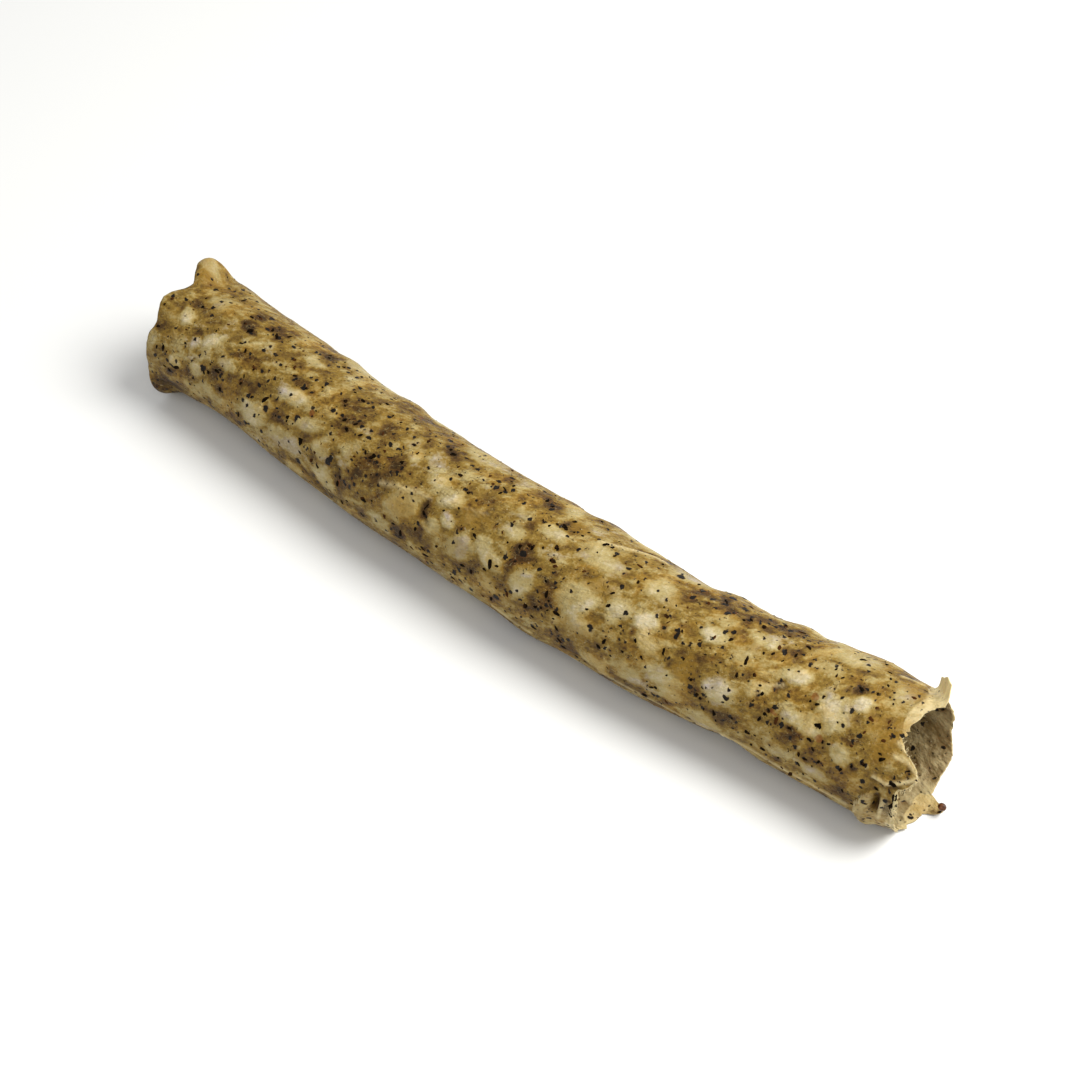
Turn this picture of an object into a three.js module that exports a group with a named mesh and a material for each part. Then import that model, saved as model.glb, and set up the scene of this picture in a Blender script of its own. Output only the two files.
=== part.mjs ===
// A short dry-cured sausage lying on its side: minced filling in a natural casing. One end is cut blunt,
// the other is torn open, with the casing standing past the filling in ragged flaps.
// Millimetres, +Z up, +X from the cut end to the torn mouth, on the surface z = 0.
import * as THREE from "three";
import { mergeVertices } from "three/addons/utils/BufferGeometryUtils.js";

// Driving dimensions.
const LENGTH = 158; // cut end to the mouth's rim, along the centre line
const RADIUS = 10.8; // mean outer radius
const SKIN = 0.5; // casing wall
const GAP = 0.3; // clearance between the casing and the filling
const FLAT_DEPTH = 0.4; // how far the underside is pressed flat where the sausage lies
const MOUTH_DEPTH = 10; // how far the filling is set back from the mouth's rim
const BOWL_DEPTH = 4.5; // hollow of the filling's end inside the mouth
const MOUTH_START = LENGTH - 18; // where the casing starts to follow its torn rim

const LUMP = 0.1; // height of each long swell of the surface
const SIDES = 48; // faces round the casing
const RING_STEP = 6; // spacing of the rings along the plain body

const degrees = THREE.MathUtils.degToRad;

// The bow of the sausage, seen from above: x and y of its centre line.
const BOW = [
  [-78.4, 2.95], [-66, 2.35], [-54, 1.55], [-40, 0.45], [-26, -0.45], [-12, -0.95], [2, -1.15],
  [16, -0.95], [30, -0.45], [42, 0.55], [54, 1.95], [65, 3.15], [81, 4.25],
];
const centreLine = new THREE.CatmullRomCurve3(
  BOW.map(([x, y]) => new THREE.Vector3(x, y, RADIUS - FLAT_DEPTH)),
);
const CURVE_LENGTH = centreLine.getLength();
const UP = new THREE.Vector3(0, 0, 1);

// Angles round the sausage run from 0 at the front (-Y) through 90 at the top to 180 at the back.
// How far the torn rim stands past the nominal mouth (+) or is torn back from it (-): [angle, reach].
const MOUTH_RIM = [
  [-170, 0.6], [-140, 2.2], [-112, 1.4], [-60, -0.8], [-25, -1.4], [10, 0.4],
  [28, 2.2], [45, 3.6], [60, 1], [72, -0.6], [95, -1.2], [125, -2.4], [160, -1.2],
];
const CUT_RIM = [[-150, 0.4], [-60, -0.2], [-30, 0.8], [20, 0], [80, -0.3], [150, 0.2]];

// Flaps of torn casing on the mouth's rim: middle angle, half width in degrees, length, how far the flap
// turns outwards in degrees by its tip, and over what length it turns.
const FLAPS = [
  { name: "thumb", at: 127, spread: 31, reach: 4.4, turn: 96, bend: 1.2 },
  { name: "rolled cuff", at: -22, spread: 34, reach: 2.4, turn: 62, bend: 2.4 },
  { name: "tongue", at: -90, spread: 26, reach: 4.4, turn: -22, bend: 3 },
];

// Places where the casing swells or dips: distance along, angle, half length, half width in degrees,
// height, and how far it pulls the cut edge backwards.
const SWELLS = [
  { name: "ear", along: -1, angle: 121, run: 8, spread: 33, height: 2.5, past: 3 },
  { name: "lip", along: 1.5, angle: -33, run: 7, spread: 42, height: 1.9, past: 0 },
  { name: "widening before the mouth", along: 147, angle: 45, run: 15, spread: 400, height: 0.9, past: 0 },
  { name: "back dent", along: 117, angle: 142, run: 5, spread: 30, height: -0.7, past: 0 },
  { name: "middle swell", along: 86, angle: 40, run: 16, spread: 400, height: 0.25, past: 0 },
];

// Signed difference of two angles in degrees, from -180 to 180.
function turnBetween(a, b) {
  return ((((a - b) % 360) + 540) % 360) - 180;
}

// 1 at the middle of a hump, falling smoothly to 0 at its half width.
function hump(distance, halfWidth) {
  const share = Math.min(1, Math.abs(distance) / halfWidth);
  return (1 + Math.cos(Math.PI * share)) / 2;
}

// The outline of a rounded flap: full over its middle, dropping steeply at its sides.
function petal(distance, halfWidth) {
  return Math.sqrt(Math.max(0, 1 - (distance / halfWidth) ** 2));
}

// The value at an angle, from a closed list of [angle, value] points joined smoothly all the way round.
function valueRound(points, angle) {
  const count = points.length;
  for (let i = 0; i < count; i++) {
    const [from, low] = points[i];
    const [to, high] = points[(i + 1) % count];
    const span = (to - from + 360) % 360;
    const past = (((angle - from) % 360) + 360) % 360;
    if (past < span) return low + (high - low) * THREE.MathUtils.smoothstep(past / span, 0, 1);
  }
  return points[0][1];
}

// Long diagonal swells, each one a wave along and round the sausage.
function swell(along, angle) {
  const waves = [[0.06, 1, 0.4], [0.1, -1, 2.1], [0.17, 2, 4.0], [0.23, -2, 1.2], [0.31, 1, 5.3]];
  const turn = degrees(angle);
  let sum = 0;
  for (const [rate, lobes, phase] of waves) sum += LUMP * Math.sin(rate * along + lobes * turn + phase);
  return sum;
}

// How strongly one of the swells is felt at a place, from 0 to 1.
function share(spot, along, angle) {
  return hump(along - spot.along, spot.run) * hump(turnBetween(angle, spot.angle), spot.spread);
}

// Outer radius of the casing at a distance along the sausage and an angle round it.
function outerRadius(along, angle) {
  const swells = SWELLS.reduce((sum, spot) => sum + spot.height * share(spot, along, angle), 0);
  return RADIUS + swells + swell(along, angle);
}

// The point at a distance along, an angle round and a distance out from the centre line.
function pointOn(along, angle, out, floor) {
  const where = THREE.MathUtils.clamp(along / CURVE_LENGTH, 0, 1);
  const tangent = centreLine.getTangentAt(where);
  const centre = centreLine.getPointAt(where).addScaledVector(tangent, along - where * CURVE_LENGTH);
  const front = new THREE.Vector3().crossVectors(tangent, UP).normalize();
  const turn = degrees(angle);
  const point = centre.addScaledVector(front, out * Math.cos(turn)).addScaledVector(UP, out * Math.sin(turn));
  point.z = Math.max(point.z, floor);
  return point;
}

// Bends a lathe shape onto the centre line. place(along, angle, radius) gives the point for each vertex.
function bend(lathe, place) {
  const geometry = lathe.clone();
  geometry.deleteAttribute("normal");
  geometry.deleteAttribute("uv");
  const merged = mergeVertices(geometry, 1e-4);
  const position = merged.getAttribute("position");
  for (let i = 0; i < position.count; i++) {
    const angle = THREE.MathUtils.radToDeg(Math.atan2(position.getZ(i), position.getX(i)));
    const radius = Math.hypot(position.getX(i), position.getZ(i));
    const point = place(position.getY(i), angle, radius);
    position.setXYZ(i, point.x, point.y, point.z);
  }
  merged.computeVertexNormals();
  return merged;
}

// The casing's outer face: distance along, distance out, and how far the wall is turned outwards (radians).
function casingFace(along, angle) {
  const face = { along, out: outerRadius(along, angle), tilt: 0 };
  for (const spot of SWELLS) face.along -= spot.past * share(spot, along, angle);
  face.along -= valueRound(CUT_RIM, angle) * hump(along, 10);
  if (along <= MOUTH_START) return face;
  const edge = ((along - MOUTH_START) / (LENGTH - MOUTH_START)) ** 3;
  face.along += valueRound(MOUTH_RIM, angle) * edge;
  for (const flap of FLAPS) {
    const run = flap.reach * petal(turnBetween(angle, flap.at), flap.spread) * edge;
    const curve = degrees(flap.turn) / flap.bend;
    const curled = Math.min(run, flap.bend);
    face.along += Math.sin(curve * curled) / curve + (run - curled) * Math.cos(curve * curled);
    face.out += (1 - Math.cos(curve * curled)) / curve + (run - curled) * Math.sin(curve * curled);
    face.tilt += curve * curled;
  }
  return face;
}

// Where a point of the casing wall goes: its face, less its depth measured square to the wall.
function placeCasing(along, angle, radius) {
  const depth = RADIUS - radius;
  const face = casingFace(along, angle);
  const station = face.along + depth * Math.sin(face.tilt);
  return pointOn(station, angle, face.out - depth * Math.cos(face.tilt), depth);
}

// Stations along the wall: even over the body, closer where the ends change shape.
function stations(bodyStep) {
  const list = [0, 1.5, 3.5, 6, 9];
  const steps = Math.round((MOUTH_START - 15) / bodyStep);
  for (let i = 0; i <= steps; i++) list.push(15 + (i * (MOUTH_START - 15)) / steps);
  for (const near of [0.25, 0.45, 0.6, 0.71, 0.8, 0.87, 0.94, 1]) {
    list.push(MOUTH_START + near * (LENGTH - MOUTH_START));
  }
  return list;
}

// The casing: a thin open tube.
function makeCasing() {
  const outside = stations(RING_STEP).map((along) => new THREE.Vector2(RADIUS, along));
  const inside = stations(RING_STEP).map((along) => new THREE.Vector2(RADIUS - SKIN, along));
  const wall = [...outside, ...inside.reverse(), outside[0].clone()];
  return bend(new THREE.LatheGeometry(wall, SIDES), placeCasing);
}

// The filling: one solid, blunt behind the cut end and hollowed like a bowl inside the mouth.
function makeFilling() {
  const nominal = RADIUS - SKIN - GAP;
  const front = LENGTH - MOUTH_DEPTH;
  const profile = [[0, 0.9], [0.55, 0.8], [0.88, 0.9], [0.97, 1.5]]; // [share of the radius, along]
  for (const along of stations(RING_STEP)) if (along > 3 && along < front - 2) profile.push([1, along]);
  profile.push([1, front - 1.5], [0.97, front - 0.3], [0.9, front]);
  for (const part of [0.75, 0.5, 0.25, 0]) profile.push([part, front - BOWL_DEPTH * (1 - (part / 0.9) ** 2)]);
  const points = profile.map(([part, along]) => new THREE.Vector2(part * nominal, along));
  const place = (along, angle, radius) => {
    const face = casingFace(Math.min(along, MOUTH_START), angle);
    const pushed = (face.along - Math.min(along, MOUTH_START)) * (radius / nominal) ** 2;
    const reach = outerRadius(along, angle) - SKIN - GAP;
    return pointOn(along + pushed, angle, (radius / nominal) * reach, SKIN + GAP);
  };
  return bend(new THREE.LatheGeometry(points, SIDES), place);
}

function part(name, geometry, colour, roughness) {
  const color = new THREE.Color(...colour);
  const mesh = new THREE.Mesh(geometry, new THREE.MeshStandardMaterial({ color, roughness, metalness: 0 }));
  mesh.name = name;
  return mesh;
}

const sausage = new THREE.Group();
sausage.add(
  part("casing", makeCasing(), [0.47, 0.37, 0.2], 0.45),
  part("filling", makeFilling(), [0.27, 0.2, 0.13], 0.6),
);

// The origin is on the surface, under the middle of the sausage's box.
const box = new THREE.Box3().setFromObject(sausage, true);
const middle = box.getCenter(new THREE.Vector3());
sausage.position.set(-middle.x, -middle.y, -box.min.z);

export default sausage;
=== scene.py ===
import math

import bmesh
import bpy
import numpy as np
from mathutils import Matrix, Vector, noise
from mathutils.bvhtree import BVHTree


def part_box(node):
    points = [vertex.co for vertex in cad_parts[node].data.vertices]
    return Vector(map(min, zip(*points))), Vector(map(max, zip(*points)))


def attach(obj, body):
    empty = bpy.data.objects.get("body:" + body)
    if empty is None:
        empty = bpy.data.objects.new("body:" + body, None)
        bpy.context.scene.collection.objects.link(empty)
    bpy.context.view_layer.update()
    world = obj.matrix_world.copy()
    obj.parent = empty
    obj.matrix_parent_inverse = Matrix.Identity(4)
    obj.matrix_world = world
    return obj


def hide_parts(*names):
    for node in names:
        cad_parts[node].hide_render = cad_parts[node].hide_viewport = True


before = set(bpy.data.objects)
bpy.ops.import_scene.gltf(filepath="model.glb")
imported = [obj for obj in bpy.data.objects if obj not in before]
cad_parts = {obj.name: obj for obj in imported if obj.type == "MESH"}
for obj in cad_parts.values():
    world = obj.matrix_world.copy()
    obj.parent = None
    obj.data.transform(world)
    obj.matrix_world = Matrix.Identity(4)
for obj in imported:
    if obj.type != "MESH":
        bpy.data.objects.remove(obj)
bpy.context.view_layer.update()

bl_info = {
    "name": "Cured Sausage",
    "version": (1, 0, 0),
    "blender": (4, 5, 0),
    "location": "3D View > Sidebar > Sausage",
    "description": "A short dry-cured sausage in a torn natural casing, with its plain stage",
    "category": "Add Mesh",
}

MM = 0.001
# The skin is spun as a straight tube of this length and radius, in millimetres, before it takes its shape.
TUBE_LENGTH = 158.0
TUBE_RADIUS = 10.8
FILLING_RADIUS = 10.2
# From here on the skin's rings crowd together, for the torn mouth.
MOUTH_START = 150.0
# How far one degree goes round the tube, for the folds.
MM_PER_DEGREE = 0.1885
# The angles of the thumb of skin at the mouth, and of the rounded ear and the turned-out lip at the cut end.
THUMB_AT = 118
EAR_AT = 121
LIP_AT = -42

# Places on the sausage are given as millimetres along it from the cut end, and degrees round it: 0 at the
# front, 90 on top, 180 at the back, -90 underneath.

# Lumps of fat under the skin: along, round, length, width, slant in degrees, whiteness.
FAT = [
    (1.3, 120, 4, 3.2, 0, 0.8), (5, 63, 2.8, 3.2, 0, 0.7), (12.9, 55, 5.8, 2.4, 30, 0.8), (9.4, 46, 2.4, 2.2, 0, 0.7),
    (11.6, 24, 3.1, 2.8, 0, 0.75), (27.5, 19, 6.2, 4.2, 0, 0.3), (33.7, 56, 5.6, 2.9, 12, 0.75),
    (36.2, 16, 8.4, 3.6, 8, 0.3), (15.8, 7, 9.8, 2.8, 5, 0.35), (11.6, -3, 6, 3, 0, 0.3),
    (45.4, 6, 6.3, 4.6, -25, 0.5), (49.1, 48, 4.4, 3.2, 40, 0.45), (39.1, 42, 5.4, 2.6, 0, 0.2),
    (44, 29, 4, 2.7, 0, 0.25), (31.6, 97, 4, 2.8, 0, 0.4), (17.9, 44, 4.6, 2.2, 0, 0.15),
    (6.2, 17, 2.6, 1.8, 0, 0.4), (36.6, 136, 9, 4, 10, 0.45), (8.3, 92, 4.6, 3.4, 0, 0.1),
    (44, 141, 6, 3, 0, 0.6), (60.3, 73, 2.4, 1.4, 0, 0.5), (67.3, 66, 5, 2.3, 12, 0.6),
    (71.1, 58, 5.2, 2.5, 28, 0.6), (69, 119, 8, 4.6, 0, 0.25), (63.2, 33, 7, 6, 35, 0.05),
    (72.3, 41, 2.6, 2, 0, 0.75), (69.8, 29, 3.6, 3, 0, 0.3), (75.9, 26, 6, 5, -20, 0.05),
    (82.3, 34, 6.4, 3, -20, 0.7), (80.3, 42, 4, 2.4, 0, 0.35), (84, 66, 4.4, 3, 0, 0.5),
    (89.4, 31, 5, 5, 20, 0.7), (89.8, 83, 5.8, 3, 0, 0.25), (99.4, 43, 7.6, 5.8, 15, 0.45),
    (98.2, 87, 8.6, 5, 0, 0.45), (102.3, 23, 5, 3, 0, 0.15), (105.2, -6, 5, 3, 0, 0.3),
    (82.3, 11, 4.6, 3, 0, 0.35), (59.4, 0, 4.6, 3.4, 0, 0.25), (106.6, 52, 4.4, 4, 40, 0.6),
    (88.2, 121, 4, 6, 0, 0.5), (101, 138, 8, 3, 0, 0.5), (110.5, 88, 5.8, 4.2, 0, 0.55),
    (111.7, 55, 4, 2.6, 0, 0.85), (113, 40, 4.2, 3.4, 0, 0.5), (117.5, 18, 7.4, 3.6, -8, 0.4),
    (111.7, 4, 5.2, 4.4, 0, 0.4), (119.2, 7, 4.2, 3.4, 0, 0.35), (129.6, 91, 5, 3.4, 0, 0.7),
    (123, 90, 4.6, 3.4, 0, 0.15), (122.5, 73, 4.8, 2.6, 0, 0.7), (112.5, 122, 8.6, 3.6, 0, 0.5),
    (126.3, 32, 5.8, 4.7, 0, 0.85), (137.1, 71, 5.6, 2.9, 18, 0.75), (133.8, 63, 3.8, 2, 30, 0.5),
    (148.8, 73, 3.8, 2.6, 20, 1), (141.3, 40, 7.4, 3.1, 8, 0.6), (145.5, 55, 6.2, 5, -10, 0.6),
    (132.2, 48, 4.6, 2.2, 25, 0.7), (125, -6, 6.4, 4.4, 0, 0.2), (138, 8, 5, 3.2, 0, 0.1),
    (145.5, 3, 5.6, 2.6, 0, 0.25), (148.8, 32, 4.2, 2.8, 0, 0.5), (142.5, 115, 8, 5.4, 0, 0.25),
    (141.3, 90, 5, 3.4, 0, 0.25), (153, 99, 3.4, 3.4, 40, 0.3), (128.8, 64, 4, 3, 0, 0.35),
    (136, 140, 9, 3, 0, 0.5), (123, 141, 5, 3, 0, 0.55), (57, 143, 9, 3, 0, 0.55),
]

# Patches of darker mince: along, round, length, width, slant, depth of colour.
MINCE = [
    (2, 80, 3, 3, 0, 0.3), (8.7, 113, 4.4, 3, -30, 0.6), (16, 103, 3.6, 2.6, -40, 0.7),
    (21.2, 98, 5, 3.4, -20, 0.75), (17, 84, 4.6, 1.4, -12, 0.7), (31.6, 114, 4.4, 3, -40, 0.7),
    (35.4, 114, 3.4, 2.2, 0, 0.6), (5.4, 79, 3.4, 1.8, 0, 0.5), (23, 58, 8, 4, 0, 0.4),
    (25.8, 42, 8.4, 2.4, 38, 0.6), (17, 26, 4.4, 4, -50, 0.7), (4, 22, 5.4, 2, 20, 0.6),
    (6.2, 8, 3.4, 3, 35, 0.8), (4, 42, 5, 2.6, 0, 0.45), (23.4, -3, 4.6, 2.4, 0, 0.5),
    (39, -3, 6.4, 2, -14, 0.7), (44, -13, 4.4, 3, -35, 0.7), (49, 15, 6.4, 2.2, -60, 0.7),
    (46, 68, 7.4, 5.6, -35, 0.6), (43.4, 81, 3.4, 2, 0, 0.6), (53, 37, 5.4, 5, 0, 0.75),
    (57.3, 53, 9.4, 7, 8, 0.8), (63, 62, 6.4, 4.4, -30, 0.45), (53.4, 76, 4, 3, 0, 0.3),
    (64.4, 98, 5, 2, -38, 0.7), (59.4, 98, 3.4, 1.4, 0, 0.5), (67.3, 39, 1.7, 4.4, -8, 0.9),
    (63.6, 0, 3.6, 4.2, 10, 0.9), (69, -1, 4.2, 3.6, 30, 0.7), (66.4, 16, 8.4, 4.4, -25, 0.7),
    (76.5, 2, 9, 4.4, 0, 0.6), (79.8, 13, 4.4, 3, 0, 0.6), (84, 111, 4.4, 4.4, 0, 0.9),
    (86.4, 100, 4.4, 5.4, 0, 0.75), (87.1, 50, 3.7, 4.2, 0, 1), (93.5, 46, 4.4, 4.4, 0, 0.55),
    (93, 18, 6.4, 3.4, 15, 0.7), (90.6, 97, 5.4, 3, 0, 0.5), (103.4, 122, 3.4, 2.6, 30, 0.6),
    (92, 128, 4.4, 4, -40, 0.4), (98.8, -10, 6.4, 4.4, -20, 0.75), (116.9, 92, 5.6, 4, -12, 1),
    (128, 109, 12, 5.4, 4, 0.8), (133, 117, 6, 4, 0, 0.6), (120, 114, 2, 5, 0, 0.6),
    (114, 67, 5.4, 2.2, 0, 0.55), (122.4, 38, 3.4, 5.6, -10, 0.55), (124, 20, 4.4, 2.4, -20, 0.7),
    (128, 12, 6.4, 4.4, 0, 0.7), (115, -14, 9, 4, 0, 0.6), (135.6, 34, 4.4, 4, 0, 0.8),
    (142.4, 24, 9.4, 3.6, -12, 0.75), (141, 15, 8, 3, 0, 0.45), (151.4, -2, 5.4, 4, 0, 0.7),
    (143, 77, 6.4, 2.4, -10, 0.5), (126, 58, 5.4, 4.4, -35, 0.5), (134.6, 92, 3.6, 2.4, 30, 0.5),
    (152.4, 36, 6, 4.4, 0, 0.45), (109, 30, 4.4, 5, 30, 0.45), (147.2, 85, 2.6, 1.8, 40, 0.7),
    (153.5, 70, 2, 2, 0, 0.7), (159.4, 42, 3.4, 2, 0, 0.45), (86, 74, 4.4, 2, -25, 0.4),
    (31.4, 74, 5, 2.4, -40, 0.45),
    (1.5, -28, 5, 6, -30, 0.75), (4.5, -20, 7, 2.4, -35, 0.6), (150, 117, 5, 3, -30, 0.45),
]

# Golden stains: along, round, length, width, slant, depth of colour.
GOLD = [
    (159.4, -92, 5, 5.5, 0, 0.5), (3, 108, 5, 2.5, 30, 0.8),
    (-1, 104, 4, 5, 0, 1), (1, 118, 4, 4, 0, 0.6), (3.4, 40, 4, 3, 0, 0.6), (9, 88, 6, 5, 0, 0.4),
    (52, 90, 10, 4, 0, 0.4), (51.4, 42, 5, 3, 0, 0.45), (76.5, 55, 9, 4, 25, 0.7), (63.2, 34, 7, 5, 35, 0.5),
    (75.9, 27, 6, 4, -20, 0.4), (91.9, 102, 4, 3, 0, 0.9), (101.6, 63, 7, 3.4, 0, 0.7),
    (102.4, 14, 8, 4, 0, 0.5), (120.5, 34, 4.4, 4.4, 0, 1), (121, 43, 3, 3, 0, 0.8), (114, 85, 4, 6, 0, 0.5),
    (155, 57, 4.4, 8, 0, 1), (153, 66, 5, 5, 0, 0.6), (149.6, 88, 2.6, 3, 0, 0.8), (153.6, 108, 3.4, 6, 40, 0.8),
    (140, 98, 8, 4, 0, 0.35), (128.6, 78, 5, 2, 0, 0.5), (138, -8, 9, 4, 0, 0.3), (146, 12, 6, 4, 0, 0.4),
    (86, 8, 8, 6, 0, 0.3), (42, 92, 9, 4, 0, 0.3), (2, 62, 3, 3, 0, 0.5),
]

# Cracked pepper pressed against the skin: along, round, size across.
PEPPER = [
    (10.3, 112, 1), (16, 103, 1.1), (15.4, 86, 0.9), (17.4, 83, 1.1), (20, 99, 0.9), (21.8, 95, 1.1),
    (12.1, 64, 0.6), (6.4, 78, 0.9), (19.8, 64, 0.8), (23.6, 55, 0.7), (16.5, 33, 1.1), (14.6, 27, 0.8),
    (18.4, 18, 0.8), (6.6, 12, 1.1), (4.9, 4, 0.8), (7.4, 40, 0.7), (28.9, 38, 1.2), (22.7, 37, 0.8),
    (34.8, 37, 0.8), (31, 73, 0.7), (28.4, 86, 0.6), (29.6, 80, 0.7), (34.8, 70, 0.6), (36.9, 80, 0.7),
    (31.5, 115, 0.9), (35, 117, 0.9), (39.8, 131, 0.9), (47.6, 108, 0.9), (47, 102, 0.6), (44.4, 93, 0.8),
    (50.6, 99, 0.6), (52.8, 98, 0.6), (52.4, 76, 0.7), (42.3, 82, 0.9), (43, 78, 0.6), (44.9, 67, 0.9),
    (47.1, 69, 0.8), (46.4, 60, 0.8), (49.2, 63, 0.7), (53.6, 53, 1.3), (52, 53, 0.6), (50.6, 44, 0.6),
    (51.7, 38, 0.5), (47.5, 39, 0.4), (43.5, 36, 0.4), (39.2, 25, 1.2), (42.4, 14, 1.1), (44.1, 13, 0.8),
    (49.3, 18, 0.8), (49, 10, 0.9), (47.2, -5, 0.8), (49.8, -11, 0.9), (24, 7, 0.7), (26.2, 4, 0.7),
    (53.6, 55, 0.8), (55.1, 39, 0.5), (59, 64, 0.9), (60, 79, 0.6), (55.2, 14, 1.5), (60.3, 12, 0.9),
    (62.3, 10, 0.8), (66.9, 18, 0.8), (63.9, 3, 1.2), (66.3, -6, 0.8), (68.8, 2, 0.9), (69.3, -5, 1.2),
    (55, -6, 0.8), (67.4, 43, 0.9), (67.6, 36, 0.9), (69, 83, 1), (71.6, 81, 0.6), (72.6, 73, 0.7),
    (64.8, 99, 1.2), (63.6, 103, 0.8), (59.4, 98, 0.8), (77, 95, 0.9), (74.6, 93, 0.6), (77.4, 104, 0.7),
    (78, 44, 0.9), (73.6, 127, 0.8), (77.5, 12, 0.8), (79.4, 11, 0.9), (82.8, 31, 1.2), (82, 22, 0.7),
    (84, -5, 0.9), (82, -10, 0.7), (75.2, -14, 0.8), (83.6, 112, 1.2), (85.2, 108, 0.9), (82.8, 72, 0.5),
    (86.4, 88, 0.6), (88.2, 61, 0.9), (89.8, 66, 0.5), (84, 54, 0.5), (82.2, 59, 0.5), (92.6, 61, 1.3),
    (93.4, 58, 0.8), (91.6, 73, 0.8), (92, 71, 0.6), (90, 94, 1.1), (88.8, 92, 0.7), (90.3, 106, 0.9),
    (92, 95, 0.6), (93.2, 43, 0.7), (94.2, 33, 0.9), (95, 29, 0.7), (87.4, 13, 1), (91.2, 12, 1), (93, 17, 0.9),
    (94, 19, 0.7), (92.7, 5, 0.6), (96.9, 22, 1.1), (97.5, 7, 0.9), (92.8, -9, 0.8), (98.2, -8, 1.2),
    (98.8, -15, 1), (101.3, -17, 1), (97.6, 101, 0.9), (98.7, 102, 1), (100.3, 95, 0.7), (104.7, 99, 0.9),
    (98, 67, 0.5), (104.2, 63, 0.8), (106.6, 83, 0.9), (105.6, 14, 0.9), (106.3, 21, 0.8), (104, 125, 1),
    (92.7, 130, 0.9), (107, 118, 0.7), (113.9, 68, 1), (112.8, 74, 0.5), (118.2, 99, 0.9), (116, 84, 0.5),
    (111.3, 37, 0.8), (116.3, 40, 0.9), (113.2, 26, 0.6), (109.8, 22, 0.7), (115.8, 2, 0.8), (116.7, 4, 0.9),
    (114.6, -15, 1.1), (111, -9, 0.6), (118.6, -8, 0.9), (120, 113, 1.1), (123.6, 125, 1), (125.6, 104, 0.6),
    (124.8, 99, 0.7), (125, 75, 0.8), (128, 103, 1), (130.4, 119, 0.8), (133.3, 121, 1.2), (130.2, 121, 0.7),
    (132.2, 89, 0.9), (131.9, 80, 0.8), (136, 103, 0.9), (135.1, 89, 0.9), (130.6, 77, 0.5), (128.9, 65, 0.9),
    (131, 57, 0.6), (128.5, 51, 0.8), (132.6, 51, 0.6), (123.6, 19, 1), (124.3, 17, 0.8), (122, 29, 0.7),
    (127, 9, 0.8), (127.5, 2, 0.5), (130, 13, 0.6), (133, 7, 1.2), (134, -5, 0.7), (136, -3, 0.9), (139, -3, 0.8),
    (135.4, 35, 0.9), (135, 31, 0.7), (134.4, 25, 0.8), (137.1, 31, 1), (139.6, 30, 0.8), (143.6, 29, 0.9),
    (144.6, 23, 0.8), (142.4, 12, 0.8), (143.8, 11, 0.8), (142.7, 3, 0.6), (146.2, 15, 0.7), (142.3, 57, 0.8),
    (141, 57, 0.5), (144.2, 43, 1.1), (142.6, 85, 0.7), (143.6, 86, 0.6), (147.2, 84, 0.9), (144.2, 115, 1),
    (148.7, 116, 0.8), (147.1, 126, 1), (149.6, 108, 0.6), (151.2, 66, 0.9), (151, 76, 0.5), (149.7, 87, 0.6),
    (153.8, 71, 0.7), (150.5, 41, 0.7), (151.7, 27, 0.8), (153.2, 33, 0.8), (151.3, 55, 0.6), (155, 46, 0.7),
    (155.6, 43, 0.8), (154.6, 56, 0.7), (150.2, 19, 0.6), (147, 34, 0.6), (145.8, 33, 0.5), (141.4, -16, 1),
    (156.4, 20, 0.6), (151.3, -1, 0.7), (3.1, 24, 1), (1.6, 22, 0.8), (151.6, 124, 0.9), (86.2, 57, 0.8),
    (158.9, 30, 1.3), (159.6, 21, 1.5), (159.7, 12, 1.4), (160.2, 45, 0.6), (160.6, 40, 0.5), (159.9, 3, 0.9),
    (159.3, -18, 0.7), (159, -26, 0.8), (0.6, 41, 0.7), (-0.2, 62, 0.6), (0.4, 70, 0.7),
]

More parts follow.
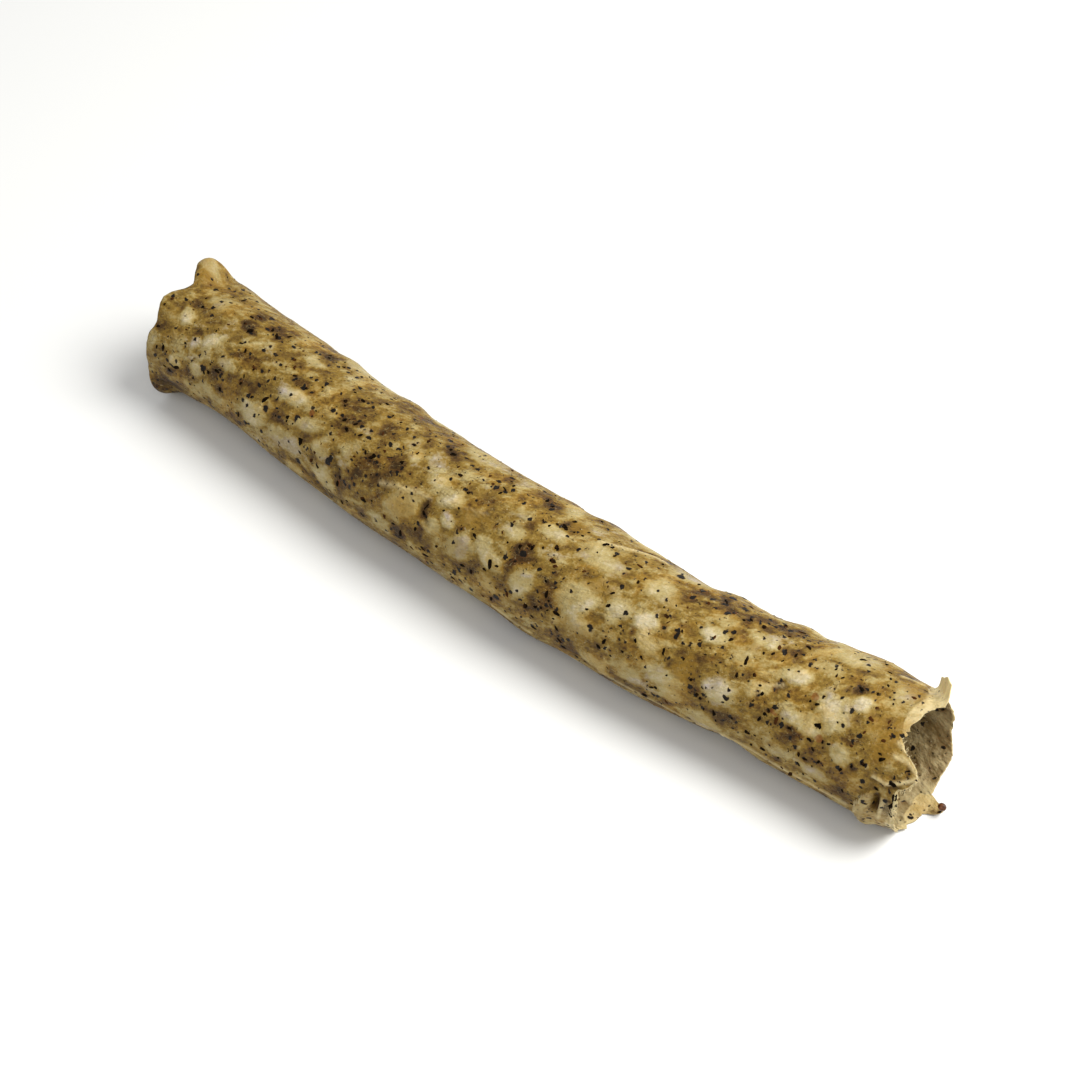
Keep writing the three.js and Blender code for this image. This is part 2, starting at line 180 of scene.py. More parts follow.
# Folds and wrinkles of the skin: points (along, round), width, depth (+ a groove, - a ridge), painted shading (+
# shade painted in the groove, - a highlight painted on the ridge).
FOLDS = [
    ([(96.5, 100), (99, 106), (102, 114), (104.5, 121), (107, 122)], 0.35, -0.28, -0.8),
    ([(97, 98.5), (100, 104), (103, 112)], 0.3, 0.1, 0.35),
    ([(57.5, 38), (61, 44), (64.5, 49.5), (67.5, 50)], 0.4, -0.22, -0.45),
    ([(67.3, 47), (66.8, 42), (67, 36), (68.6, 31)], 0.42, 0.3, 0.9),
    ([(68.5, 49.5), (71.5, 53), (74, 58), (78, 63), (82, 68), (85, 72)], 0.3, 0.16, 0.5),
    ([(69, 51), (72, 55), (74.4, 60), (78, 65)], 0.3, -0.12, -0.35),
    ([(60, 84), (66, 81), (70, 80), (76, 79), (84, 78)], 0.25, 0.08, 0.3),
    ([(37, -2), (41, -6), (44, -14), (47, -13), (51, -7), (54, -3)], 0.4, 0.22, 0.7),
    ([(46.5, 33), (48.5, 24), (49.6, 13)], 0.4, 0.15, 0.6),
    ([(110, 104), (114, 108), (119, 109)], 0.22, 0.1, 0.6),
    ([(124.6, 101), (125, 90), (125.1, 76)], 0.18, 0.05, 0.5),
    ([(139.5, 60), (142.5, 66), (146, 64), (148.6, 55)], 0.22, 0.1, 0.25),
    ([(140, 54), (143, 61), (146, 58)], 0.2, 0.08, 0.2),
    ([(132, 50), (134.6, 56), (136, 60)], 0.25, -0.12, -0.5),
    ([(130, 52), (133, 58)], 0.2, 0.08, 0.2),
    ([(22, 37), (26, 42), (30, 50), (33, 53)], 0.22, 0.08, 0.35),
    ([(105, 50), (108, 47), (110, 46)], 0.2, 0.08, 0.4),
    ([(128.5, -16), (131, -12), (134, -11), (138, -15), (144, -16), (152, -15)], 0.35, -0.25, -0.7),
    ([(84, -16), (88, -19), (92, -21)], 0.35, -0.2, -0.6),
    ([(106, -16), (112, -17), (118, -19), (122, -22), (126, -17)], 0.35, -0.2, -0.6),
    ([(150.4, 119), (151.6, 122), (154, 124)], 0.3, -0.15, -0.6),
    ([(2, -22), (5.5, -18), (8.5, -13)], 0.4, 0.25, 0.6),
    ([(1, -30), (4, -26), (8, -18)], 0.4, 0.25, 0.5),
    ([(120.6, 108), (120, 118)], 0.3, 0.12, 0.7),
    ([(155.5, 28), (157.6, 27), (159.6, 33), (161.6, 41)], 0.3, -0.35, -1),
    ([(155.6, 26), (157.8, 24.5), (160, 30)], 0.3, 0.2, 0.8),
    ([(157.2, 50), (159.3, 51), (161.4, 46)], 0.3, -0.15, -0.7),
    ([(156.8, 60), (158.4, 57)], 0.3, -0.1, -0.7), ([(158.6, 14), (159.3, 4), (159.5, -8)], 0.35, 0.25, 0.9),
    ([(159.8, 24), (160.2, 12), (160, 0), (159.8, -14)], 0.25, -0.25, -0.8),
]

# The mouth's torn edge: angle, distance along, width of the bare film beside it.
RIM = [
    (-180, 157.9, 1.2), (-165, 158, 1), (-155, 158.8, 0.8), (-146, 159.6, 0.7), (-137, 159.6, 0.6),
    (-125, 159.4, 0.6), (-117, 159.5, 0.7), (-108, 159.7, 0.8), (-97, 159.2, 0.7), (-75, 159.2, 0.7),
    (-60, 159.4, 1), (-45, 159.5, 1.6), (-25, 159.9, 1.8), (-5, 160.4, 1.6), (10, 160.6, 1.2), (20, 160.3, 0.8),
    (27, 159.9, 0.4), (31, 161, 0.4), (37, 161.9, 0.4), (43, 162.1, 0.4), (47, 161.4, 0.35), (51, 160.5, 0.35),
    (54, 159.4, 0.35), (57, 158.2, 0.5), (60, 157.8, 0.5), (63, 157.1, 0.7), (70, 157.2, 1.2), (78, 157.1, 1.9),
    (86, 157.4, 2.5), (93, 157.7, 2.7), (101, 158.4, 3.2), (108, 158.8, 3.6), (113, 158.6, 3.6), (119, 157, 2.4),
    (125, 155.4, 1), (135, 155.2, 0.8), (150, 155.6, 0.9), (165, 156.9, 1.2),
]
# The cut end's edge: angle, distance along.
CUT = [
    (-150, 0.3), (-100, 0), (-60, 0), (-45, 0), (-25, -0.9), (0, -0.9), (20, -0.9), (31, -0.8), (43, 0),
    (52, -0.6), (60, -1.2), (68, -1.5), (76, -0.7), (83, 0.2), (92, 0.8), (150, 0.2),
]
# Swells and dents of the whole body: along, round, half length, half width in degrees, height.
SWELLS = [
    (9, 144, 8, 40, 0.45), (3.5, 143, 8, 32, 0.9), (22, -38, 19, 42, -0.5), (33, 144, 5, 34, 0.5),
    (49, 144, 5, 34, 0.7), (86, 144, 4, 30, 0.3),
    (94, 144, 7, 34, 0.8), (90, -40, 9, 35, 0.6), (119.5, 144, 5, 34, 0.75), (132, 144, 4.5, 32, 0.45),
    (136.5, 144, 3, 30, -0.25), (129, -36, 7, 30, -0.8), (146.5, 144, 7, 34, 0.5), (58, 20, 8, 30, 0.25),
    (159, -35, 4, 42, -0.9), (-1, 72, 4, 22, 0.5), (76, 30, 5, 25, 0.3), (99, 42, 6, 28, 0.3),
    (63, 34, 5, 25, 0.3), (110, 88, 7, 30, 0.25), (121, 34, 3, 20, -0.25),
]

# Flaps of skin on the torn edge: angle, half width, reach, outward turn by the tip, length over which it turns.
FLAPS = [
    (117, 15, 4.2, 104, 2), (-86, 18, 1.7, -64, 2), (-97, 10, 3.9, -34, 2), (-64, 5, 0.7, -10, 1),
]
# Loose fibres: the share of them that is placed by the end of each row, the arc they grow on, their lengths.
FIBRES = [(0.5, (-44, -6), (0.4, 1.3)), (0.8, (28, 68), (0.3, 0.9)), (1, (-75, 112), (0.3, 0.9))]
# Patches out of sight: how many, then the ranges of place round, length, width, slant and strength, as above.
HIDDEN = [
    (85, (155, 318), (3, 8), (2.2, 4.4), (-20, 40), (0.1, 0.8)),
    (70, (150, 325), (3, 9), (2, 4.4), (-40, 40), (0.4, 0.9)),
    (22, (150, 325), (3, 8), (3, 5), (-30, 30), (0.3, 0.8)),
]


class CasingSettings(bpy.types.PropertyGroup):
    wall: bpy.props.FloatProperty(
        name="Wall", description="Thickness of the skin", default=0.45 * MM, min=0.1 * MM, unit="LENGTH", precision=5)
    edge: bpy.props.FloatProperty(
        name="Torn edge", description="Thickness of the skin at the torn edge", default=0.16 * MM, min=0.05 * MM,
        unit="LENGTH", precision=5)
    sides: bpy.props.IntProperty(name="Sides", description="Faces round the skin", default=180, min=24)
    step: bpy.props.FloatProperty(
        name="Ring step", description="Distance between rings on the body", default=0.44 * MM, min=0.1 * MM,
        unit="LENGTH", precision=5)
    fray: bpy.props.FloatProperty(
        name="Fray", description="Depth of the fine teeth along the torn edge", default=0.5 * MM, unit="LENGTH",
        precision=5)
    relief: bpy.props.FloatProperty(
        name="Relief", description="How far the fat stands out under the skin", default=0.2 * MM, unit="LENGTH",
        precision=5)
    tan: bpy.props.FloatVectorProperty(
        name="Tan", description="Main colour of the mince under the skin", subtype="COLOR",
        default=(0.21, 0.13, 0.022))
    fat: bpy.props.FloatVectorProperty(
        name="Fat", description="Colour of pale fat", subtype="COLOR", default=(0.345, 0.272, 0.115))
    mince: bpy.props.FloatVectorProperty(
        name="Mince", description="Colour of the dark mince", subtype="COLOR", default=(0.068, 0.034, 0.006))
    gold: bpy.props.FloatVectorProperty(
        name="Gold", description="Colour of the golden stains", subtype="COLOR", default=(0.2, 0.11, 0.012))
    film: bpy.props.FloatVectorProperty(
        name="Film", description="Colour of the bare skin", subtype="COLOR", default=(0.52, 0.43, 0.23))


class FillingSettings(bpy.types.PropertyGroup):
    setback: bpy.props.FloatProperty(
        name="Set back", description="How far the filling stands back in the mouth", default=10 * MM, unit="LENGTH")
    bowl: bpy.props.FloatProperty(
        name="Hollow", description="Depth of the hollow in its end", default=4.5 * MM, unit="LENGTH")
    colour: bpy.props.FloatVectorProperty(
        name="Colour", description="Colour of the cut filling", subtype="COLOR", default=(0.2, 0.14, 0.06))


class TrimSettings(bpy.types.PropertyGroup):
    pepper: bpy.props.FloatVectorProperty(
        name="Pepper", description="Colour of cracked pepper", subtype="COLOR", default=(0.004, 0.0025, 0.001))
    seed: bpy.props.FloatVectorProperty(
        name="Seed", description="Colour of the seed on the tongue", subtype="COLOR", default=(0.045, 0.014, 0.003))
    fibres: bpy.props.IntProperty(
        name="Fibres", description="Number of loose fibres at the mouth", default=110, min=0)
    hidden: bpy.props.IntProperty(
        name="Pepper behind", description="Pieces of pepper on the far side and underneath", default=210, min=0)
    fine: bpy.props.IntProperty(
        name="Fine pepper", description="Small specks of pepper in front", default=190, min=0)


class StageSettings(bpy.types.PropertyGroup):
    floor: bpy.props.FloatVectorProperty(
        name="Floor", description="Colour of the surface", subtype="COLOR", default=(0.7, 0.705, 0.7))
    key: bpy.props.FloatProperty(name="Key light", description="Power of the main light in watts", default=5.3, min=0)
    sky: bpy.props.FloatProperty(name="Sky", description="Strength of the even light all round", default=0.58, min=0)
    lens: bpy.props.FloatProperty(
        name="Lens", description="Camera's focal length in millimetres", default=86.51, min=1)
    distance: bpy.props.FloatProperty(
        name="Distance", description="Camera's distance from what it looks at", default=0.451, unit="LENGTH")


def wrap(degrees):
    """The same angle, from -180 to 180."""
    return (degrees + 180) % 360 - 180


def smooth(value, low, high):
    """A soft step from 0 to 1 as the value goes from low to high."""
    share = np.clip((value - low) / (high - low), 0, 1)
    return share * share * (3 - 2 * share)


def hump(distance, half):
    """A soft hill of height 1, back to 0 at half its width."""
    return 0.5 + 0.5 * np.cos(np.pi * np.minimum(1, np.abs(distance) / half))


def round_table(table, angle, column=1):
    """A value from a list whose rows start with an angle, joined up all the way round."""
    angles = np.array([row[0] for row in table], float)
    values = np.array([row[column] for row in table], float)
    order = np.argsort(angles)
    angles, values = angles[order], values[order]
    angles = np.concatenate([[angles[-1] - 360], angles, [angles[0] + 360]])
    values = np.concatenate([[values[-1]], values, [values[0]]])
    return np.interp(wrap(angle), angles, values)


def clouds(points, scale, seed):
    """Soft noise from about -1 to 1 at each point."""
    shift = Vector((seed * 17.3, seed * 5.1, seed * 9.7))
    return np.array([noise.noise(Vector(p) * scale + shift) for p in points])


class Body:
    """The sausage's centre line and girth, read off the fixed frame's casing. Lengths are in millimetres."""

    def __init__(self):
        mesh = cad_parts["casing"].data
        corners = [vertex.co / MM for vertex in mesh.vertices]
        self.tree = BVHTree.FromPolygons(corners, [face.vertices for face in mesh.polygons])
        self.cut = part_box("filling")[0].x / MM + 0.25
        self.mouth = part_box("filling")[1].x / MM - self.cut
        middle = sum(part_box("filling")[i].z for i in (0, 1)) / 2 / MM
        stations = np.arange(9, self.mouth, 3.0)
        sides = [[self.ray((self.cut + s, way * 60, middle), (0, -way, 0)).y for way in (-1, 1)] for s in stations]
        curve = np.polynomial.Polynomial.fit(stations, np.mean(sides, axis=1), 6)
        self.line_at = np.arange(9, self.mouth, 1.0)
        self.line = curve(self.line_at)
        tops = [self.ray((self.cut + s, curve(s), 60), (0, 0, -1)).z for s in stations]
        self.height = float(np.median(np.array(tops) - np.diff(sides, axis=1)[:, 0] / 2))
        self.girth_at = np.arange(12, self.mouth + 1, 3.0)
        self.angles = np.arange(-180, 180, 15)
        self.girth = np.array([[self.reach(s, a) for a in self.angles] for s in self.girth_at])
        under = np.isin(self.angles, (-105, -90, -75))
        self.girth[:, under] = self.girth[:, np.isin(self.angles, (-120, -60))].mean(axis=1, keepdims=True)
        for _ in range(2):
            self.girth[1:-1] = (self.girth[:-2] + 2 * self.girth[1:-1] + self.girth[2:]) / 4

    def ray(self, start, way):
        place = self.tree.ray_cast(Vector(start), Vector(way))[0]
        if place is None:
            raise RuntimeError("The casing was missed while it was being measured")
        return place

    def reach(self, along, angle):
        """How far the frame's casing is from the centre line at one place."""
        far = 40.0
        centre, out = self.spot(along, angle, 0.0), self.spot(along, angle, far)
        return far - (self.ray(out, centre - out) - Vector(out)).length

    def spot(self, along, angle, out):
        """One point, from its three numbers."""
        return self.place(np.array([along]), np.array([angle]), np.array([out]))[0]

    def place(self, along, angle, out):
        """Points at distances along, angles round and distances out from the centre line."""
        first, last = self.line_at[0], self.line_at[-1]
        slope = np.interp(along, self.line_at, np.gradient(self.line, self.line_at))
        side = np.interp(along, self.line_at, self.line)
        side = side + slope * (np.minimum(0, along - first) + np.maximum(0, along - last))
        level = 1 / np.sqrt(1 + slope**2)
        turn = np.radians(angle)
        across = out * np.cos(turn)
        points = (self.cut + along + across * slope * level, side - across * level, self.height + out * np.sin(turn))
        return np.stack(np.broadcast_arrays(*points), axis=-1)

    def radius(self, along, angle):
        """Girth of the plain sausage, before its ends and its relief."""
        row = np.clip((along - self.girth_at[0]) / 3, 0, len(self.girth_at) - 1.001)
        column = (np.asarray(angle, float) + 180) % 360 / 15
        top, left = row.astype(int), column.astype(int) % 24
        down, right = row - top, column - column.astype(int)
        near = self.girth[top, left] * (1 - right) + self.girth[top, (left + 1) % 24] * right
        far = self.girth[top + 1, left] * (1 - right) + self.girth[top + 1, (left + 1) % 24] * right
        return near * (1 - down) + far * down

    def swollen(self, along, angle):
        """Girth with the swells and dents of the whole body."""
        out = self.radius(along, angle)
        for at, round_at, long, wide, height in SWELLS:
            out = out + height * hump(along - at, long) * hump(wrap(angle - round_at), wide)
        return out


body = Body()


def hidden_patches():
    """Fat, mince and gold for the side that is out of sight, scattered as evenly as on the near side."""
    chance = np.random.default_rng(11)
    return [[tuple(chance.uniform(*span) for span in ((2, TUBE_LENGTH), *spans)) for _ in range(count)]
            for count, *spans in HIDDEN]


def patch_field(patches, along, angle, edge):
    """How strongly each patch is felt at each place: the strongest one, and the last value of its row there."""
    strength = np.zeros(len(along))
    level = np.zeros(len(along))
    for at, round_at, long, wide, slant, value in patches:
        near = np.abs(along - at) < long + 2
        dx = along[near] - at
        dy = np.radians(wrap(angle[near] - round_at)) * TUBE_RADIUS
        turn = math.radians(slant)
        u = (dx * math.cos(turn) + dy * math.sin(turn)) / (long / 2)
        v = (dy * math.cos(turn) - dx * math.sin(turn)) / (wide / 2)
        felt = 1 - smooth(np.hypot(u, v), 1 - edge, 1 + edge)
        better = felt > strength[near]
        spots = np.flatnonzero(near)[better]
        strength[spots] = felt[better]
        level[spots] = value
    return strength, level


def fold_field(along, angle):
    """Height of the folds, and their painted shading: shade painted in the grooves, a highlight painted on the
    ridges.
    """
    height = np.zeros(len(along))
    dark = np.zeros(len(along))
    for points, width, depth, painted_shading in FOLDS:
        low = min(p[0] for p in points) - 2
        high = max(p[0] for p in points) + 2
        near = np.flatnonzero((along > low) & (along < high))
        u = along[near]
        v = wrap(angle[near] - points[0][1]) * MM_PER_DEGREE
        route = [(p[0], wrap(p[1] - points[0][1]) * MM_PER_DEGREE) for p in points]
        best = np.full(len(near), 99.0)
        for (x0, y0), (x1, y1) in zip(route, route[1:]):
            span = (x1 - x0) ** 2 + (y1 - y0) ** 2
            share = np.clip(((u - x0) * (x1 - x0) + (v - y0) * (y1 - y0)) / span, 0, 1)
            best = np.minimum(best, np.hypot(u - x0 - share * (x1 - x0), v - y0 - share * (y1 - y0)))
        felt = np.exp(-((best / width) ** 2))
        height[near] -= depth * felt
        dark[near] += painted_shading * felt
    return height, dark


def cuff_field(along, angle):
    """The curled cuff below the front of the mouth: height, hollow and bare film. Its hollow is also painted in shade
    on the skin.
    """
    left = 153.4 + 1.6 * np.abs((angle + 12) / 26) ** 1.7 + 0.22 * np.sin(angle * 0.5) + 0.12 * np.sin(angle * 1.3)
    inside = smooth(along, left, left + 0.35) * smooth(angle, -36, -31) * (1 - smooth(angle, 13, 18))
    fall = 1 - smooth(along, 155.2, 157)
    ridge = np.exp(-(((along - 157.9 - 0.02 * (angle - 5)) / 0.35) ** 2)) * hump(wrap(angle - 2), 20)
    hollow = np.exp(-(((along - 157) / 0.5) ** 2) - ((angle - 5) / 9) ** 2)
    height = 0.8 * inside * fall + 0.35 * ridge - 1.4 * hollow
    bright = np.exp(-(((along - left - 0.2) / 0.24) ** 2)) * hump(wrap(angle + 9), 27)
    return height, hollow, np.clip(bright + 0.8 * ridge + 0.5 * inside * (1 - hollow), 0, 1)


def new_object(name, mesh, material):
    """A piece of the sausage, with its material and its place in the frame."""
    piece = bpy.data.objects.new(name, mesh)
    bpy.context.scene.collection.objects.link(piece)
    mesh.materials.append(material)
    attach(piece, "root")
    return piece


def to_mesh(name, shape, smooth_faces=True):
    """The finished mesh of a shape, which is freed."""
    mesh = bpy.data.meshes.new(name)
    shape.to_mesh(mesh)
    shape.free()
    mesh.polygons.foreach_set("use_smooth", [smooth_faces] * len(mesh.polygons))
    return mesh


def spun(profile, sides):
    """A closed shape spun round X from a profile of (along, out), in millimetres, closed in a ring or on the axis."""
    shape = bmesh.new()
    corners = [shape.verts.new((along, -out, 0)) for along, out in profile]
    edges = [shape.edges.new(pair) for pair in zip(corners, corners[1:])]
    bmesh.ops.spin(shape, geom=corners + edges, cent=(0, 0, 0), axis=(1, 0, 0), angle=2 * math.pi, steps=sides,
                   use_merge=True, use_duplicate=False)
    bmesh.ops.remove_doubles(shape, verts=shape.verts, dist=1e-5)
    bmesh.ops.recalc_face_normals(shape, faces=shape.faces)
    return shape


def unrolled(mesh):
    """Where each vertex of a straight spun shape is: along it, in degrees round it, and out from its middle."""
    co = np.empty(len(mesh.vertices) * 3)
    mesh.vertices.foreach_get("co", co)
    x, y, z = co.reshape(-1, 3).T
    return x, np.degrees(np.arctan2(z, -y)), np.hypot(y, z)


def put_vertices(mesh, points):
    """Move the vertices to places given in millimetres."""
    mesh.vertices.foreach_set("co", (np.asarray(points) * MM).ravel())
    mesh.update()


def paint(mesh, name, channels):
    """Four values for each vertex, for the material to read."""
    layer = mesh.attributes.new(name, "FLOAT_COLOR", "POINT")
    table = np.stack(np.broadcast_arrays(*channels), axis=-1).astype(np.float32)
    layer.data.foreach_set("color", table.ravel())


def rest(points, thickness, flat=1.3):
    """Keeps points above the surface, with a soft turn where the sausage starts to rest on it."""
    low = points[:, 2] - thickness
    points[:, 2] = thickness + np.where(low > flat, low, np.where(low < -flat, 0, (low + flat) ** 2 / (4 * flat)))
    return points


def lip_field(along, angle):
    """How strongly the lip at the cut end turns out, from 0 to 1."""
    return hump(wrap(angle - LIP_AT), 38) * hump(along + 0.6, 5.4)


class SAUSAGE_OT_casing(bpy.types.Operator):
    """Build the skin, with everything that shows through it"""

    bl_idname = "sausage.casing"
    bl_label = "Casing"

    def execute(self, context):
        settings = context.scene.sausage_casing
        wall = settings.wall / MM
        rings = list(np.arange(0, 3, 0.3)) + list(np.arange(3, MOUTH_START, settings.step / MM))
        mouth = MOUTH_START + (TUBE_LENGTH - MOUTH_START) * np.linspace(0, 1, 56) ** 0.62
        rings += list(mouth)
        deep = [149, 146, 142, *range(136, 10, -8), 6, 3, 1.5, 0.8, 0]
        inside = [(s, TUBE_RADIUS - wall) for s in list(mouth[::-1]) + deep]
        shape = spun([(s, TUBE_RADIUS) for s in rings] + inside + [(rings[0], TUBE_RADIUS)], settings.sides)
        mesh = to_mesh("casing_skin", shape)
        along, angle, out = unrolled(mesh)
        inner = TUBE_RADIUS - out > wall / 2
        # The faces stand closer together where the thumb of skin stands up.
        near, pull = 40, 8
        away = wrap(angle - THUMB_AT)
        angle = angle - pull * np.sin(np.pi * away / near) * (np.abs(away) < near)
        points, marks = self.shape_skin(settings, along, angle, inner)
        put_vertices(mesh, points)
        for name, channels in marks.items():
            paint(mesh, name, channels)
        skin = new_object("casing_skin", mesh, casing_material(settings))
        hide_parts("casing")
        return {"FINISHED"}

    def shape_skin(self, settings, along, angle, inner):
        """The skin's vertices, and what is painted on them, from their places on the straight tube."""
        wall, edge, end = settings.wall / MM, settings.edge / MM, TUBE_LENGTH
        start = body.place(along, angle, np.full(len(along), TUBE_RADIUS))
        wobble = clouds(start, 0.32, 1), clouds(start, 0.32, 2)
        fine = clouds(start, 1.1, 3)
        lumps = clouds(start, 0.13, 4)

        # The torn edge, with its teeth and its band of bare film, and the cut edge.
        ramp = np.clip((along - 142) / (end - 142), 0, 1) ** 3
        teeth = np.array([noise.noise(Vector((a * 0.55, 3.1, 0))) + 0.7 * noise.noise(Vector((a * 1.7, 9.2, 0)))
                          for a in angle])
        calm = 1 - 0.8 * hump(wrap(angle - 114), 24)
        far_side = 1 - 0.55 * smooth(np.abs(wrap(angle - 60)), 60, 90)
        teeth = teeth * settings.fray / MM * calm * far_side
        rim = round_table(RIM, angle)
        place = along + (rim - end) * ramp
        band = round_table(RIM, angle, 2) * np.where(inner, 0.45, 1)
        film = 1 - smooth(rim - place, 0.55 * band, band)
        place = place + teeth * np.clip((along - 155) / (end - 155), 0, 1) ** 2
        place = place + (round_table(CUT, angle) + 0.25 * clouds(start, 0.9, 6)) * (1 - smooth(along, 0, 6))

        # What shows through the skin.
        reading = place + 0.55 * wobble[0] + 0.25 * fine
        turn_reading = angle + 3.4 * wobble[1] + 1.2 * clouds(start, 1.1, 5)
        hidden_fat, hidden_mince, hidden_gold = hidden_patches()
        fat, white = patch_field(FAT + hidden_fat, reading, turn_reading, 0.4)
        mince, depth_of_mince = patch_field(MINCE + hidden_mince, reading, turn_reading, 0.65)
        gold, depth_of_gold = patch_field(GOLD + hidden_gold, reading, turn_reading, 0.7)
        stain = patch_field([(s, a, size * 1.5, size * 1.3, 0, 1) for s, a, size in PEPPER], place, angle, 0.7)[0]
        # The folds' relief, and their painted shading: shade in the grooves and a highlight on the ridges.
        fold, fold_shading = fold_field(place, angle)
        cuff, hollow, bare = cuff_field(place, angle)

        out = body.swollen(along, angle) + 0.25 * film * hump(wrap(angle - 92), 34)
        tilt = np.zeros(len(along))
        # Each flap grows out of the edge as a petal, and curls outwards or inwards over its first stretch.
        for at, half, reach, turn, bend in FLAPS:
            across = wrap(angle - at) / half
            petal = np.maximum(0, 1 - np.abs(across) ** 2.2)
            petal = petal * (1 + 0.1 * clouds(start, 1.3, 12))
            run = reach * petal * np.clip((along - end + 1.9) / 1.9, 0, 1) ** 1.5
            curve = math.radians(turn) / bend
            curled = np.minimum(run, bend)
            place = place + np.sin(curve * curled) / curve + (run - curled) * np.cos(curve * curled) - run * 0.12
            out = out + (1 - np.cos(curve * curled)) / curve + (run - curled) * np.sin(curve * curled)
            tilt = tilt + curve * curled
            film = np.maximum(film, smooth(run, 0.1, 0.5))
            # The thumb, the one flap at a positive angle, is painted paler: painted light, as if lit through its thin
            # skin on the side turned from the lamp.
            white = np.maximum(white, smooth(run, 0.3, 1.2)) if at > 0 else white

        # The ear and the lip at the cut end.
        ear = hump(wrap(angle - EAR_AT), 26) ** 0.6 * hump(along, 4.6)
        place = place - 2.4 * hump(wrap(angle - 120), 22) ** 0.6 * hump(along, 5)
        out = out + 3.8 * ear + 2.3 * lip_field(along, angle)
        rounding = np.clip(1 - along / 2.2, 0, 1) ** 2
        out = out - rounding * (0.2 + 1.3 * hump(wrap(angle - 119), 27))

        # Relief of what lies under the skin.
        ends = smooth(along, 0, 3)
        swell = fat * (0.6 + 0.5 * white) - 0.35 * mince * depth_of_mince + 0.55 * lumps + 0.14 * fine
        out = out + settings.relief / MM * swell * ends + fold + cuff * smooth(along, 150, 152)
        thickness = wall + (edge - wall) * smooth(along, 149, end - 0.6)
        thickness = thickness + 0.5 * smooth(along, 2, 6) * (1 - smooth(along, 138, 146))
        thickness = np.where(along < 1.5, wall * (0.5 + along / 3), thickness)
        inward = np.where(inner, thickness, 0)
        out = out - inward * np.cos(tilt)
        place = place + inward * np.sin(tilt)
        points = body.place(place, angle, out)
        points = rest(points, inward)

        # The pattern's own coordinates: a little stretched along, and twisted round.
        twist = np.radians(angle - 1.6 * along)
        grain = (place * 0.78, TUBE_RADIUS * np.cos(twist), TUBE_RADIUS * np.sin(twist))
        # In the cuff's hollow the pale film gives way to painted shade.
        film = np.maximum(film * (1 - 0.8 * hollow), bare)
        marks = {
            # The whiteness channel carries the fat's own paleness and the painted light on the thumb.
            "mince": (fat, white, mince * depth_of_mince, gold * depth_of_gold),
            # Skin: bare film, inner side, painted shade of the fold grooves and the cuff's hollow, painted highlight
            # on the fold ridges.
            "skin": (film, inner.astype(float), np.clip(fold_shading, 0, 1) + 0.9 * hollow, np.clip(-fold_shading, 0, 1)),
            "grain": (*[g * MM for g in grain], stain),
        }
        return points, marks


class SAUSAGE_OT_filling(bpy.types.Operator):
    """Build the filling, with its cut face and the hollow inside the mouth"""

    bl_idname = "sausage.filling"
    bl_label = "Filling"

    def execute(self, context):
        settings = context.scene.sausage_filling
        base = FILLING_RADIUS
        front = TUBE_LENGTH - settings.setback / MM
        profile = [(0.3, base * share) for share in np.linspace(0, 0.95, 34)] + [(0.5, base * 0.99), (1, base)]
        profile += [(s, base) for s in np.linspace(3, front - 1.2, 60)]
        profile += [(front - 0.4, base * 0.985), (front, base * 0.93)]
        for share in np.linspace(0.9, 0, 34):
            profile.append((front - settings.bowl / MM * (1 - (share / 0.93) ** 2), base * share))
        mesh = to_mesh("filling_mince", spun(profile, 120))
        along, angle, out = unrolled(mesh)
        share = out / base
        start = body.place(along, angle, out)
        rough = clouds(start, 0.5, 7) + 0.5 * clouds(start, 1.4, 8) + 0.25 * clouds(start, 3.2, 9)
        face = 1 - smooth(along, 0.9, 2.5)
        ear = hump(wrap(angle - EAR_AT), 25) * face * share**3
        place = along + 0.35 * rough * (face + smooth(along, front - 5, front - 1)) - 2.2 * ear
        reach = body.swollen(along, angle) - 0.34 - 0.7 * smooth(along, 1.5, 6) + 2.4 * ear
        reach = reach + 2.0 * lip_field(along, angle)
        points = rest(body.place(place, angle, share * reach), 0.43)
        put_vertices(mesh, points)
        piece = new_object("filling_mince", mesh, filling_material(settings))
        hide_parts("filling")
        return {"FINISHED"}


def skin_tree():
    """The skin's faces, for finding places on it."""
    mesh = bpy.data.objects["casing_skin"].data
    points = [vertex.co.copy() for vertex in mesh.vertices]
    return BVHTree.FromPolygons(points, [face.vertices for face in mesh.polygons])


def on_skin(tree, along, angle):
    """The point and outward direction of the skin at a place, in metres."""
    inner, outer = (Vector(body.spot(along, angle, out) * MM) for out in (4.0, 30.0))
    point, normal = tree.ray_cast(outer, (inner - outer).normalized())[:2]
    if point is None:
        raise RuntimeError("A piece of pepper found no skin to lie on")
    return point, normal


